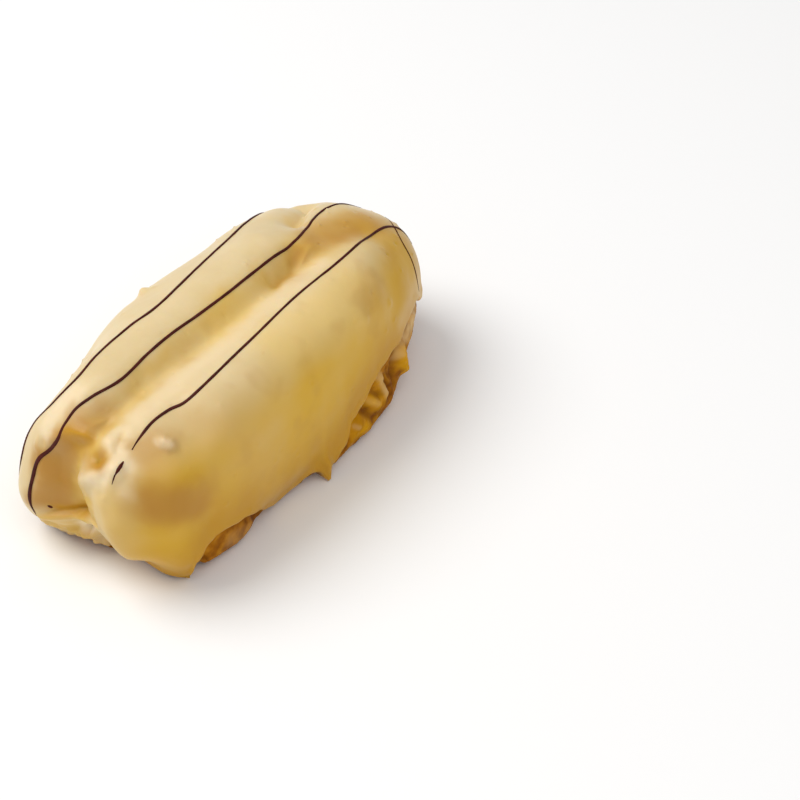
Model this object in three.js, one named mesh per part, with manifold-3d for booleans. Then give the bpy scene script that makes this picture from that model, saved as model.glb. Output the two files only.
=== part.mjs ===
// A cream puff: an oblong choux bun under a pale yellow glaze, with thin lines of dark chocolate.
// Millimetres. The puff lies along X with its ragged near end at -X, and the table is z = 0.
// A place on its skin is an angle round the outline and a level: 0 is the line along the top,
// 1 is the widest outline and 2 is the table.

import * as THREE from "three";
import { mergeVertices } from "three/addons/utils/BufferGeometryUtils.js";
import Module from "manifold-3d";

const wasm = await Module();
wasm.setup();

// The whole puff.
const HALF_LENGTH = 68;
const HALF_WIDTH = 30.5;
const HEIGHT = 49;
const WIDEST_HEIGHT = 19.5;
const TOP_LINE_SHARE = 0.6; // of the length
const SQUARENESS = { nearEnd: 4.8, farEnd: 2.9, sides: 2.5, crown: 2.5 }; // 2 is an ellipse
const FOOT_TUCK = { nearEnd: 0.17, farEnd: 0.11 }; // how far the foot draws in, as a share
const SPINE = { share: 0.72, halfLength: 46, height: 16 }; // the skin swells away from this line

// The glaze and the crust below its edge.
const GLAZE = 1.5;
const LIP_DROP = 0.3;
const GAP = 0.3;
const CRUST_INSET = 1.1;
const CRUST_STARTS = { below: 1, full: 4 }; // how far under the glaze's edge the crust comes out
const CRAGS = [
  { length: 13, height: 0.35, turn: 0.4 },
  { length: 8.5, height: 0.35, turn: 2.1 },
  { length: 6, height: 0.25, turn: 4.4 },
];

// The chocolate lines.
const LINE_RADIUS = 0.5;
const LINE_RISE = 0.1; // of the line's axis over the glaze
const LINE_SIDES = 6;
const LINE_STEP = 3.2;

// How finely the skin is faceted.
const COLUMNS = 80;
const TOP_ROWS = 12;
const SIDE_ROWS = 7; // these follow the glaze's edge
const SIDE_ROWS_START = 29; // height
const CRUST_ROWS = 5;

// Swells of the skin, and hollows where the height is below 0. Each fades over its radius from a
// path of places. A steep one has a second radius on the side that lies in its direction.
const SWELLS = [
  { name: "near left foot", places: [[-62, 22, 6], [-64, 18, 14]], radius: 8, height: 3.5 },
  { name: "near left side", places: [[-60, 22, 24], [-58, 21, 34]], radius: 8, height: 1.3 },
  { name: "near left shoulder", places: [[-50, 24, 37], [-38, 25, 38]], radius: 8, height: -3.9 },
  { name: "left ridge", places: [[-50, 8, 45], [20, 7, 47]], radius: 8, height: 2.2 },
  { name: "left side bulge", places: [[-14, 25, 40], [-2, 26, 39]], radius: 10, height: 1.2 },
  {
    name: "valley",
    places: [
      [-53, 0, 45], [-43, -2.5, 47.6], [-25, -4.5, 48.9], [-5, -5.5, 49], [13, -5.5, 48.9],
      [22, -5.5, 48.5],
    ],
    radius: 8.5,
    height: -4.2,
    steep: { toward: [0, 1, 0], radius: 4.5 },
  },
  { name: "valley end", places: [[13, -4.2, 48.8], [22, -4.6, 48.5]], radius: 4, height: -1 },
  { name: "right ridge", places: [[-34, -17, 45], [38, -15, 45]], radius: 7, height: 1.6 },
  { name: "ridge saddle", places: [[-45, -16, 44], [-45, -22, 42]], radius: 6, height: -1.2 },
  { name: "flank shoulder", places: [[-34, -24, 40], [28, -24.5, 39]], radius: 8, height: 1.9 },
  {
    name: "far dent",
    places: [[37.6, 7.8, 46.4], [44.8, 11, 43.9], [50.2, 13.5, 41.2]],
    radius: 4.6,
    height: -2.6,
    steep: { toward: [1, 0, 0], radius: 3 },
  },
  { name: "far lobe", places: [[52, 2, 42], [50, -4, 43]], radius: 7, height: 1 },
  { name: "far slope", places: [[35, -6, 46.8], [46, -8.5, 44]], radius: 6, height: -1.6 },
  { name: "far tip", places: [[60, -5, 37], [61.5, -8, 34]], radius: 6, height: 0.8 },
  { name: "far right side", places: [[50, -23, 30], [54, -20, 26]], radius: 7, height: -0.8 },
  { name: "far left lobe", places: [[28, 20, 41], [40, 18, 40]], radius: 8, height: 0.7 },
  { name: "far right flank", places: [[62, -20, 12], [56, -24, 10]], radius: 10, height: -0.9 },
  { name: "near lobe", places: [[-57, -22, 33], [-59, -21, 22]], radius: 10, height: 3.1 },
  { name: "near lobe rim", places: [[-62, -13, 37], [-66, -13, 24]], radius: 5, height: 1.1 },
  { name: "near lobe foot", places: [[-55, -26, 4], [-56, -26, 9]], radius: 7, height: 3 },
  { name: "near lobe groove", places: [[-64, -19, 19], [-50, -28, 18]], radius: 4, height: -0.9 },
  { name: "near foot", places: [[-64.6, -14.5, 3], [-65, -8, 4]], radius: 7, height: -7.8 },
  { name: "near left foot edge", places: [[-65, -2, 4], [-64, 7, 5]], radius: 7, height: -4 },
  { name: "torn foot", places: [[-67.4, 4, 11.2], [-67.4, -3.5, 13.2]], radius: 5, height: -3 },
  { name: "near hollow", places: [[-67, 6, 30], [-67, 5, 20]], radius: 8, height: -3.8 },
  {
    name: "near curtain",
    places: [
      [-65, -9.6, 33], [-66.5, -9.6, 29], [-67.2, -11.2, 24], [-67.3, -12, 20],
      [-66.8, -13.4, 15], [-65.5, -14, 9],
    ],
    radius: 6,
    height: 2.6,
    steep: { toward: [0, 1, 0.1], radius: 2.6 },
  },
  { name: "upper knob", places: [[-58.8, -5.4, 41.8]], radius: 4, height: 1.8 },
  {
    name: "lower knob",
    places: [[-62.6, -8.6, 37], [-64.8, -4.8, 34.4], [-66, -1.6, 31.8]],
    radius: 3.6,
    height: 3,
    steep: { toward: [0, 0.3, -1], radius: 2.6 },
  },
  { name: "right flank waist", places: [[-15, -30, 2], [-27, -29, 2]], radius: 7, height: -2.4 },
  { name: "right flank foot", places: [[4, -29.5, 3], [28, -28, 4]], radius: 7, height: 2.2 },
  { name: "far right foot", places: [[50, -25, 4]], radius: 7, height: -2 },
  { name: "flank dip", places: [[24, -27, 36], [32, -26, 35]], radius: 7, height: -1 },
];

// Hollows of the near end that have edges. An edge has a place on it, the way into the hollow and
// the distance over which the skin sinks there.
const CREVICE = { place: [-66.5, 11, 13], wayIn: [0, 0.29, 0.957], softness: 1.2 };
const HOLLOWS = [
  {
    name: "pit",
    depth: 2.8,
    edges: [
      { place: [-61, 7.4, 39.9], wayIn: [0, -0.2, -0.98], softness: 1.3 },
      { place: [-61, 7.4, 39.9], wayIn: [0, -0.64, -0.77], softness: 2.2 },
      { place: [-65, -4, 30], wayIn: [0, 1, -0.05], softness: 8 },
      { place: [-66, 14.5, 26], wayIn: [0, -1, 0], softness: 4 },
      CREVICE,
    ],
  },
  {
    name: "pocket",
    depth: 1.5,
    edges: [
      { place: [-66, 0, 29], wayIn: [0, 0.3, -0.95], softness: 6 },
      { place: [-67, -6.6, 25.5], wayIn: [0, 0.98, -0.18], softness: 1.9 },
      { place: [-66, 9, 25], wayIn: [0, -1, 0], softness: 9 },
      CREVICE,
    ],
  },
];
const HOLLOWS_START = { from: 50, full: 56 }; // towards the near end, from the middle

// Torn folds of the crust, which stand out where the glaze leaves it bare.
const FOLDS = [
  {
    name: "far fold",
    places: [[35, -28.6, 17], [37.5, -27.5, 11], [39.5, -27, 8]],
    radius: 3,
    height: 2.4,
    steep: { toward: [-1, 0, 0], radius: 1.8 },
  },
  {
    name: "middle fold",
    places: [[23.6, -29.7, 19], [27, -29, 10]],
    radius: 2.6,
    height: 1.3,
    steep: { toward: [1, 0, 0], radius: 1.2 },
  },
  {
    name: "golden roll",
    places: [[17.4, -29.8, 14], [22, -29.4, 9]],
    radius: 2.4,
    height: 1.5,
    steep: { toward: [1, 0, 0], radius: 1.6 },
  },
  { name: "lower fold", places: [[11, -29.8, 9], [17, -29, 4]], radius: 3, height: 1 },
  { name: "upper fold", places: [[41.8, -27.1, 15], [49, -25, 20]], radius: 2.8, height: 0.4 },
  { name: "near fold", places: [[-46, -27, 3], [-32, -28.4, 2.6]], radius: 4, height: 1.6 },
];

// Height of the glaze's edge, by the share of the way round from the far end past +Y. The lowest
// ones are drips, and it is high on the right flank, where the crust shows.
const GLAZE_EDGE = [
  [0, 13], [0.06, 8], [0.13, 4], [0.19, 6.5], [0.25, 3], [0.31, 5.5], [0.37, 2.2], [0.42, 4.5],
  [0.455, 2.4], [0.485, 4], [0.505, 2.4], [0.52, 3.6], [0.54, 3], [0.563, 2.6], [0.575, 1],
  [0.586, 5], [0.593, 10], [0.603, 12.5], [0.616, 13.2], [0.642, 12.5], [0.662, 9.5],
  [0.677, 4], [0.69, 2.4], [0.712, 3], [0.73, 4.6], [0.738, 4.2], [0.75, 1], [0.762, 6],
  [0.77, 7.5], [0.783, 12.5], [0.797, 15], [0.813, 19], [0.825, 21.2], [0.85, 22],
  [0.875, 25], [0.895, 25.5], [0.93, 20], [0.96, 16], [1, 13],
];

// Places that the chocolate lines pass over, from the near end to the far end.
const LINES = [
  {
    name: "left line",
    places: [
      [-60.5, 21, 18], [-61.2, 21.1, 22.5], [-60.4, 21.1, 27.4], [-58.9, 20.4, 32.5],
      [-55.8, 18.8, 37.8], [-52.4, 14.6, 42.8], [-47.3, 12.2, 45.5], [-37.8, 13, 46.6],
      [-26.8, 12.2, 47.6], [-16.6, 11.2, 48.1], [3.6, 13.7, 47.3], [19.8, 16.4, 45.9],
      [36, 19.8, 41.8], [42, 21, 38],
    ],
  },
  {
    name: "middle line",
    places: [
      [-64.8, 14, 11.6], [-65.2, 14.7, 14.5], [-65.3, 15.2, 18], [-65.1, 15.5, 22.4],
      [-64.5, 15.1, 28.5], [-63.4, 12.4, 33.8], [-61.8, 8.9, 38], [-59.4, 8.2, 40.7],
      [-55.7, 7.1, 43.4], [-51.4, 5.2, 45.5], [-43.8, 2.6, 47.5], [-32.4, 2.2, 48.6],
      [-20.6, 1.6, 49], [-9.2, 0.8, 49], [3.1, 0.4, 49], [16.2, 0.4, 48.8], [27.3, 0.2, 48.1],
      [36.6, 2.7, 46.9], [45.3, 4.6, 44.8], [53.1, 4.1, 41.9], [59, 1.5, 38.5],
    ],
  },
  {
    name: "right line",
    places: [
      [-57.5, -11.9, 41.1], [-54, -11.8, 43.1], [-48.5, -12, 45.1], [-43.2, -13.3, 46],
      [-40.6, -14.7, 45.8], [-35, -15.4, 46.2], [-21.7, -15, 46.8], [-8.1, -14.4, 47.1],
      [6.5, -13.6, 47.4], [19.7, -13.5, 47], [30.4, -13.4, 46.2], [40.8, -12.1, 44.7],
      [50.5, -10.6, 42], [57.1, -10.2, 38.5], [61, -11, 34.6], [62, -13.5, 31],
    ],
  },
  { name: "dash", places: [[-60.3, -11.6, 38.9], [-62.1, -11.2, 37], [-64, -10.9, 34.2]] },
];

function smoothStep(value, start, end) {
  const t = THREE.MathUtils.clamp((value - start) / (end - start), 0, 1);
  return t * t * (3 - 2 * t);
}

function signedPower(value, power) {
  return Math.sign(value) * Math.abs(value) ** power;
}

// The widest outline, a superellipse with a squarer near end.
function outlinePoint(angle) {
  const along = Math.cos(angle);
  const ends = along < 0 ? SQUARENESS.nearEnd : SQUARENESS.farEnd;
  const x = HALF_LENGTH * signedPower(along, 2 / ends);
  const y = HALF_WIDTH * signedPower(Math.sin(angle), 2 / SQUARENESS.sides);
  return [x, y];
}

// Height of the smooth crown over a place inside the outline.
function crownHeight(x, y) {
  const ends = x < 0 ? SQUARENESS.nearEnd : SQUARENESS.farEnd;
  const out = Math.abs(x / HALF_LENGTH) ** ends + Math.abs(y / HALF_WIDTH) ** SQUARENESS.sides;
  const rise = Math.max(1 - out, 0) ** (1 / SQUARENESS.crown);
  return WIDEST_HEIGHT + (HEIGHT - WIDEST_HEIGHT) * rise;
}

// A place on the smooth form, before it swells.
function formPoint(angle, level) {
  const [outX, outY] = outlinePoint(angle);
  if (level <= 1) {
    const reach = Math.sin((level * Math.PI) / 2);
    const x = outX * (TOP_LINE_SHARE + (1 - TOP_LINE_SHARE) * reach);
    const y = outY * reach;
    return new THREE.Vector3(x, y, crownHeight(x, y));
  }
  const down = Math.min(level - 1, 1);
  const nearness = THREE.MathUtils.clamp(-outX / HALF_LENGTH, 0, 1);
  const tuck = THREE.MathUtils.lerp(FOOT_TUCK.farEnd, FOOT_TUCK.nearEnd, nearness);
  const shrink = 1 - tuck * (1 - Math.sqrt(1 - down * down));
  return new THREE.Vector3(outX * shrink, outY * shrink, WIDEST_HEIGHT * (1 - down));
}

// The level at which the smooth form has a height, by halving.
function levelAtHeight(angle, height) {
  let above = 0;
  let below = 2;
  for (let step = 0; step < 30; step++) {
    const middle = (above + below) / 2;
    if (formPoint(angle, middle).z > height) {
      above = middle;
    } else {
      below = middle;
    }
  }
  return (above + below) / 2;
}

// Values from start to end that divide a curve of places into equal lengths.
function evenValues(placeAt, start, end, count) {
  const fine = 4000;
  const values = [start];
  const lengths = [0];
  let last = placeAt(start);
  for (let i = 1; i <= fine; i++) {
    const place = placeAt(THREE.MathUtils.lerp(start, end, i / fine));
    values.push(THREE.MathUtils.lerp(start, end, i / fine));
    lengths.push(lengths[i - 1] + place.distanceTo(last));
    last = place;
  }
  const even = [];
  let i = 0;
  for (let k = 0; k < count; k++) {
    while (lengths[i] < (lengths[fine] * k) / count) {
      i++;
    }
    even.push(values[i]);
  }
  return [...even, end];
}

// Angles that divide the outline into equal lengths, alike on both sides of the X axis.
function evenAngles(count) {
  const half = evenValues((angle) => formPoint(angle, 1), 0, Math.PI, count / 2);
  const otherHalf = half.slice(1, -1).reverse();
  return half.concat(otherHalf.map((angle) => -angle));
}

// Height of the glaze's edge at a share of the way round.
function glazeEdgeHeight(around) {
  const next = GLAZE_EDGE.findIndex(([share]) => share > around);
  const [startShare, startHeight] = GLAZE_EDGE[next - 1];
  const [endShare, endHeight] = GLAZE_EDGE[next];
  return THREE.MathUtils.lerp(startHeight, endHeight, smoothStep(around, startShare, endShare));
}

// The way out of the puff: away from its spine, and level at the table.
function outward(point) {
  const reach = SPINE.halfLength;
  const spineX = THREE.MathUtils.clamp(point.x * SPINE.share, -reach, reach);
  const way = new THREE.Vector3(point.x - spineX, point.y, point.z - SPINE.height).normalize();
  way.z *= Math.min(point.z / SPINE.height, 1);
  return way;
}

// The way to a point from the nearest place on a path.
function wayFromPath(point, places) {
  const corners = places.map((place) => new THREE.Vector3(...place));
  const nearest = corners[0].clone();
  const candidate = new THREE.Vector3();
  for (let i = 1; i < corners.length; i++) {
    new THREE.Line3(corners[i - 1], corners[i]).closestPointToPoint(point, true, candidate);
    if (candidate.distanceToSquared(point) < nearest.distanceToSquared(point)) {
      nearest.copy(candidate);
    }
  }
  return point.clone().sub(nearest);
}

// How far the swells of a list lift the skin at a place.
function lift(point, swells) {
  let sum = 0;
  for (const { places, radius, height, steep } of swells) {
    const way = wayFromPath(point, places);
    const away = way.length();
    let fade = radius;
    if (steep) {
      const side = way.normalize().dot(new THREE.Vector3(...steep.toward));
      fade = THREE.MathUtils.lerp(radius, steep.radius, smoothStep(side, -0.3, 0.3));
    }
    sum += height * Math.exp(-((away / fade) ** 2));
  }
  return sum;
}

// How far the hollows with edges lift the skin at a place, below 0.
function sink(point) {
  let sum = 0;
  for (const { depth, edges } of HOLLOWS) {
    let inside = smoothStep(-point.x, HOLLOWS_START.from, HOLLOWS_START.full);
    for (const { place, wayIn, softness } of edges) {
      const past = point.clone().sub(new THREE.Vector3(...place)).dot(new THREE.Vector3(...wayIn));
      inside *= smoothStep(past, 0, softness);
    }
    sum -= depth * inside;
  }
  return sum;
}

// How far the skin stands off the smooth form.
function swelling(point) {
  return lift(point, SWELLS) + sink(point);
}

// Uneven crags of the bare crust.
function cragLift(point) {
  let sum = 0;
  for (const crag of CRAGS) {
    const turn = (2 * Math.PI) / crag.length;
    const along = Math.sin(point.x * turn + crag.turn + Math.sin(point.z * turn));
    sum += crag.height * along * Math.cos(point.y * turn + point.z * turn * 0.7);
  }
  return sum;
}

// A place on the swollen skin, some way under it.
function skinPoint(angle, level, depth) {
  const point = formPoint(angle, level);
  return point.addScaledVector(outward(point), swelling(point) - depth);
}

// A place on the crust below the glaze, which comes out once it is clear of the glaze's lip.
function crustPoint(angle, level, clearHeight) {
  const point = formPoint(angle, level);
  const below = clearHeight - point.z;
  const bare = smoothStep(below, CRUST_STARTS.below, CRUST_STARTS.full);
  const relief = cragLift(point) + lift(point, FOLDS);
  const depth = THREE.MathUtils.lerp(GLAZE + GAP, CRUST_INSET - relief, bare);
  return point.addScaledVector(outward(point), swelling(point) - depth);
}

// Faces between rows of points that each run once round. The first row lies folded on the top
// line and closes itself. From row back on, the rows run up again, and their faces are split the
// other way, so that they stay parallel to the first ones.
function facesBetween(rows, back) {
  const count = rows[0].length;
  const faces = [];
  for (let row = 0; row + 1 < rows.length; row++) {
    for (let i = 0; i < count; i++) {
      const j = (i + 1) % count;
      const [a, b] = [row * count + i, row * count + j];
      if (row < back) {
        faces.push(a, a + count, b + count, a, b + count, b);
      } else {
        faces.push(a, a + count, b, b, a + count, b + count);
      }
    }
  }
  return faces;
}

// Flat faces that close the last row across the puff.
function baseFaces(rows) {
  const count = rows[0].length;
  const first = (rows.length - 1) * count;
  const faces = [];
  for (let i = 0; i < count / 2; i++) {
    const [a, b] = [first + i, first + i + 1];
    const [c, d] = [first + ((count - i) % count), first + count - i - 1];
    faces.push(a, c, d, a, d, b);
  }
  return faces;
}

// A geometry of shared corners, without faces that have shrunk to a line.
function mergedGeometry(points, faces) {
  const loose = new THREE.BufferGeometry().setFromPoints(points);
  loose.setIndex(faces);
  const merged = mergeVertices(loose, 1e-3);
  const kept = [];
  for (let i = 0; i < merged.index.count; i += 3) {
    const [a, b, c] = merged.index.array.slice(i, i + 3);
    if (a !== b && b !== c && c !== a) {
      kept.push(a, b, c);
    }
  }
  merged.setIndex(kept);
  return merged;
}

// Each column's angle, and the levels of its rows. The crust comes out below clearHeight, where
// the column and its neighbours are clear of the glaze.
function columns() {
  const edgeHeights = Array.from({ length: COLUMNS }, (_, i) => glazeEdgeHeight(i / COLUMNS));
  return evenAngles(COLUMNS).map((angle, i) => {
    const meridian = (level) => formPoint(angle, level);
    const sideLevel = levelAtHeight(angle, SIDE_ROWS_START);
    const edgeLevel = levelAtHeight(angle, edgeHeights[i]);
    const lipLevel = levelAtHeight(angle, edgeHeights[i] - LIP_DROP);
    const top = evenValues(meridian, 0, sideLevel, TOP_ROWS);
    const side = evenValues(meridian, sideLevel, edgeLevel, SIDE_ROWS);
    const crustLevels = evenValues(meridian, edgeLevel, 2, CRUST_ROWS).slice(1);
    const neighbours = [edgeHeights.at(i - 1), edgeHeights[i], edgeHeights[(i + 1) % COLUMNS]];
    const clearHeight = Math.min(...neighbours);
    return { angle, lipLevel, glazedLevels: [...top, ...side.slice(1)], crustLevels, clearHeight };
  });
}

// Rows of points some way under the skin, from the top line to the glaze's edge.
function glazedRows(around, depth) {
  return around[0].glazedLevels.map((_, row) =>
    around.map(({ angle, glazedLevels }) => skinPoint(angle, glazedLevels[row], depth)),
  );
}

// The glaze: its outer face down to the lip, and its inner face back up.
function glazeGeometry(around) {
  const lip = around.map(({ angle, lipLevel }) => skinPoint(angle, lipLevel, GLAZE / 2));
  const outer = glazedRows(around, 0);
  const inner = glazedRows(around, GLAZE).reverse();
  const rows = [...outer, lip, ...inner];
  return mergedGeometry(rows.flat(), facesBetween(rows, outer.length));
}

// The bun: under the glaze it follows the glaze's inner face, and below it is bare crust.
function bunGeometry(around) {
  const bareRows = around[0].crustLevels.map((_, row) =>
    around.map(({ angle, crustLevels, clearHeight }) =>
      crustPoint(angle, crustLevels[row], clearHeight),
    ),
  );
  const rows = [...glazedRows(around, GLAZE + GAP), ...bareRows];
  const faces = [...facesBetween(rows, rows.length), ...baseFaces(rows)];
  return mergedGeometry(rows.flat(), faces);
}

// Where the ray from the spine through a place leaves the glaze.
function castOnGlaze(place, glaze) {
  const way = outward(place);
  const start = place.clone().addScaledVector(way, -8);
  const hits = new THREE.Raycaster(start, way.clone().normalize(), 0, 30).intersectObject(glaze);
  return hits.at(-1).point.addScaledVector(way, LINE_RISE);
}

// A thin half-sunk rope of chocolate along the glaze.
function lineGeometry(line, glaze) {
  const route = new THREE.CatmullRomCurve3(line.places.map((p) => new THREE.Vector3(...p)));
  const steps = Math.round(route.getLength() / LINE_STEP);
  const onGlaze = route.getSpacedPoints(steps).map((place) => castOnGlaze(place, glaze));
  const section = new THREE.Shape();
  for (let i = 0; i < LINE_SIDES; i++) {
    const turn = (2 * Math.PI * i) / LINE_SIDES;
    const [x, y] = [LINE_RADIUS * Math.cos(turn), LINE_RADIUS * Math.sin(turn)];
    if (i === 0) {
      section.moveTo(x, y);
    } else {
      section.lineTo(x, y);
    }
  }
  section.closePath();
  const extrudePath = new THREE.CatmullRomCurve3(onGlaze);
  return new THREE.ExtrudeGeometry(section, { steps, extrudePath, bevelEnabled: false });
}

// A closed geometry as a solid to join.
function solidOf(geometry) {
  const bare = geometry.clone();
  bare.deleteAttribute("normal");
  bare.deleteAttribute("uv");
  const merged = mergeVertices(bare, 1e-3);
  const vertProperties = merged.attributes.position.array;
  const triVerts = new Uint32Array(merged.index.array);
  return new wasm.Manifold(new wasm.Mesh({ numProp: 3, vertProperties, triVerts }));
}

function geometryOf(solid) {
  const mesh = solid.getMesh();
  const geometry = new THREE.BufferGeometry();
  geometry.setAttribute("position", new THREE.BufferAttribute(mesh.vertProperties, 3));
  geometry.setIndex(new THREE.BufferAttribute(mesh.triVerts, 1));
  return geometry;
}

function namedMesh(name, geometry, color, roughness) {
  const material = new THREE.MeshStandardMaterial({ color, roughness, metalness: 0 });
  const mesh = new THREE.Mesh(geometry, material);
  mesh.name = name;
  return mesh;
}

// The glaze with the chocolate lines fused on.
function icedGlaze(around) {
  const bare = new THREE.Mesh(
    glazeGeometry(around),
    new THREE.MeshBasicMaterial({ side: THREE.DoubleSide }),
  );
  let solid = solidOf(bare.geometry);
  for (const line of LINES) {
    solid = solid.add(solidOf(lineGeometry(line, bare)));
  }
  return geometryOf(solid);
}

const around = columns();
const puff = new THREE.Group();
puff.add(namedMesh("choux", bunGeometry(around), 0xb07a36, 0.85));
puff.add(namedMesh("icing", icedGlaze(around), 0xe6cd8c, 0.35));

// The footprint is centred on the origin.
const middle = new THREE.Box3().setFromObject(puff).getCenter(new THREE.Vector3());
puff.position.set(-middle.x, -middle.y, 0);

export default puff;
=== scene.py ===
"""A cream puff: an oblong choux bun under a pale yellow glaze, with thin lines of dark chocolate.

Sizes are millimetres in the form's own frame, the one of the CAD source. FORM_TO_ROW and MM carry
them into the row's frame. A place on the skin is an angle round the outline and a level: 0 is the
line along the top, 1 is the widest outline and 2 is the table.
"""

import math

import bpy
import numpy as np
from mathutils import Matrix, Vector
from mathutils.bvhtree import BVHTree


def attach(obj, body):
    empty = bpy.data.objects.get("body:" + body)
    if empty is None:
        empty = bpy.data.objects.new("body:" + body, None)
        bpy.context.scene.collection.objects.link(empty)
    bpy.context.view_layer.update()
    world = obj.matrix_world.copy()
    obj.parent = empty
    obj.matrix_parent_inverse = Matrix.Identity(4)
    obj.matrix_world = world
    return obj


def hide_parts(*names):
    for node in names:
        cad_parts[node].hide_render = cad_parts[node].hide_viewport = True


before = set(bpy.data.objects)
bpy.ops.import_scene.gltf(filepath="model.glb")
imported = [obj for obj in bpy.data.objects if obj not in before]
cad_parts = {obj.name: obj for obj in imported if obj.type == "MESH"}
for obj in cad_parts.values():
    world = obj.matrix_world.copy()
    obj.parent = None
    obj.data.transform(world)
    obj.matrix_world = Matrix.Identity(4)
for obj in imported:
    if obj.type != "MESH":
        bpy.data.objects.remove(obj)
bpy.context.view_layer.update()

MM = 0.001
FORM_TO_ROW = (0.9, 0.43, 0.0)

# The form, as in the CAD source.
HALF_LENGTH = 68.0
HALF_WIDTH = 30.5
HEIGHT = 49.0
WIDEST_HEIGHT = 19.5
TOP_LINE_SHARE = 0.6
SQUARE_NEAR, SQUARE_FAR, SQUARE_SIDES, SQUARE_CROWN = 4.8, 2.9, 2.5, 2.5
TUCK_NEAR, TUCK_FAR = 0.17, 0.11
SPINE_SHARE, SPINE_REACH, SPINE_HEIGHT = 0.72, 46.0, 16.0
GLAZE = 1.5
CRUST_INSET = 1.1

# The glaze's edge: its bead, how high its lip stays, from which height it waves, the gap under it
# and how far below it the bare crust comes out, past its lowest place among the columns beside.
BEAD_HEIGHT, BEAD_REACH, BEAD_FROM_LEVEL = 0.35, 1.6, 0.8
LIP_CLEARANCE = 0.6
WAVES_FROM_HEIGHT = (1.0, 4.0)
CRUST_GAP = 0.25
CRUST_COMES_OUT = (0.6, 3.0)
CRUST_NEIGHBOURS = 8

# How finely the skins are meshed.
COLUMNS = 640
GLAZE_ROWS = 122
INNER_ROWS = 24
LIP_ROWS = 6
CRUST_ROWS = 60

# Swells of the skin, and hollows where the height is below 0: the places of a path, the radius
# over which the swell fades and its height, as in the CAD source. Where a direction and a second
# radius follow, the side that lies that way has that radius. STEEP_SIDE holds the cosines of the
# angle to it between which the radius changes.
STEEP_SIDE = (-0.3, 0.3)
SWELLS = {
    "near left foot": (((-62, 22, 6), (-64, 18, 14)), 8, 3.5),
    "near left side": (((-60, 22, 24), (-58, 21, 34)), 8, 1.3),
    "near left shoulder": (((-50, 24, 37), (-38, 25, 38)), 8, -3.9),
    "left ridge": (((-50, 8, 45), (20, 7, 47)), 8, 2.2),
    "left side bulge": (((-14, 25, 40), (-2, 26, 39)), 10, 1.2),
    "valley": (
        ((-53, 0, 45), (-43, -2.5, 47.6), (-25, -4.5, 48.9), (-5, -5.5, 49), (13, -5.5, 48.9),
         (22, -5.5, 48.5)),
        8.5, -4.2, (0, 1, 0), 4.5,
    ),
    "valley end": (((13, -4.2, 48.8), (22, -4.6, 48.5)), 4, -1),
    "right ridge": (((-34, -17, 45), (38, -15, 45)), 7, 1.6),
    "ridge saddle": (((-45, -16, 44), (-45, -22, 42)), 6, -1.2),
    "flank shoulder": (((-34, -24, 40), (28, -24.5, 39)), 8, 1.9),
    "far dent": (((37.6, 7.8, 46.4), (44.8, 11, 43.9), (50.2, 13.5, 41.2)), 4.6, -2.6, (1, 0, 0), 3),
    "far lobe": (((52, 2, 42), (50, -4, 43)), 7, 1),
    "far slope": (((35, -6, 46.8), (46, -8.5, 44)), 6, -1.6),
    "far tip": (((60, -5, 37), (61.5, -8, 34)), 6, 0.8),
    "far right side": (((50, -23, 30), (54, -20, 26)), 7, -0.8),
    "far left lobe": (((28, 20, 41), (40, 18, 40)), 8, 0.7),
    "far right flank": (((62, -20, 12), (56, -24, 10)), 10, -0.9),
    "near lobe": (((-57, -22, 33), (-59, -21, 22)), 10, 3.1),
    "near lobe rim": (((-62, -13, 37), (-66, -13, 24)), 5, 1.1),
    "near lobe foot": (((-55, -26, 4), (-56, -26, 9)), 7, 3),
    "near lobe groove": (((-64, -19, 19), (-50, -28, 18)), 4, -0.9),
    "near foot": (((-64.6, -14.5, 3), (-65, -8, 4)), 7, -7.8),
    "near left foot edge": (((-65, -2, 4), (-64, 7, 5)), 7, -4),
    "torn foot": (((-67.4, 4, 11.2), (-67.4, -3.5, 13.2)), 5, -3),
    "near hollow": (((-67, 6, 30), (-67, 5, 20)), 8, -3.8),
    "near curtain": (
        ((-65, -9.6, 33), (-66.5, -9.6, 29), (-67.2, -11.2, 24), (-67.3, -12, 20),
         (-66.8, -13.4, 15), (-65.5, -14, 9)),
        6, 2.6, (0, 1, 0.1), 2.6,
    ),
    "upper knob": (((-58.8, -5.4, 41.8),), 4, 1.8),
    "lower knob": (
        ((-62.6, -8.6, 37), (-64.8, -4.8, 34.4), (-66, -1.6, 31.8)), 3.6, 3, (0, 0.3, -1), 2.6,
    ),
    "right flank waist": (((-15, -30, 2), (-27, -29, 2)), 7, -2.4),
    "right flank foot": (((4, -29.5, 3), (28, -28, 4)), 7, 2.2),
    "far right foot": (((50, -25, 4),), 7, -2),
    "flank dip": (((24, -27, 36), (32, -26, 35)), 7, -1),
}

# Hollows with edges: the depth, and for each edge a place on it, the way in and its softness.
CREVICE = ((-66.5, 11, 13), (0, 0.29, 0.957), 1.2)
HOLLOWS = {
    "pit": (
        2.8,
        (
            ((-61, 7.4, 39.9), (0, -0.2, -0.98), 1.3),
            ((-61, 7.4, 39.9), (0, -0.64, -0.77), 2.2),
            ((-65, -4, 30), (0, 1, -0.05), 8),
            ((-66, 14.5, 26), (0, -1, 0), 4),
            CREVICE,
        ),
    ),
    "pocket": (
        1.5,
        (
            ((-66, 0, 29), (0, 0.3, -0.95), 6),
            ((-67, -6.6, 25.5), (0, 0.98, -0.18), 1.9),
            ((-66, 9, 25), (0, -1, 0), 9),
            CREVICE,
        ),
    ),
}

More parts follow.
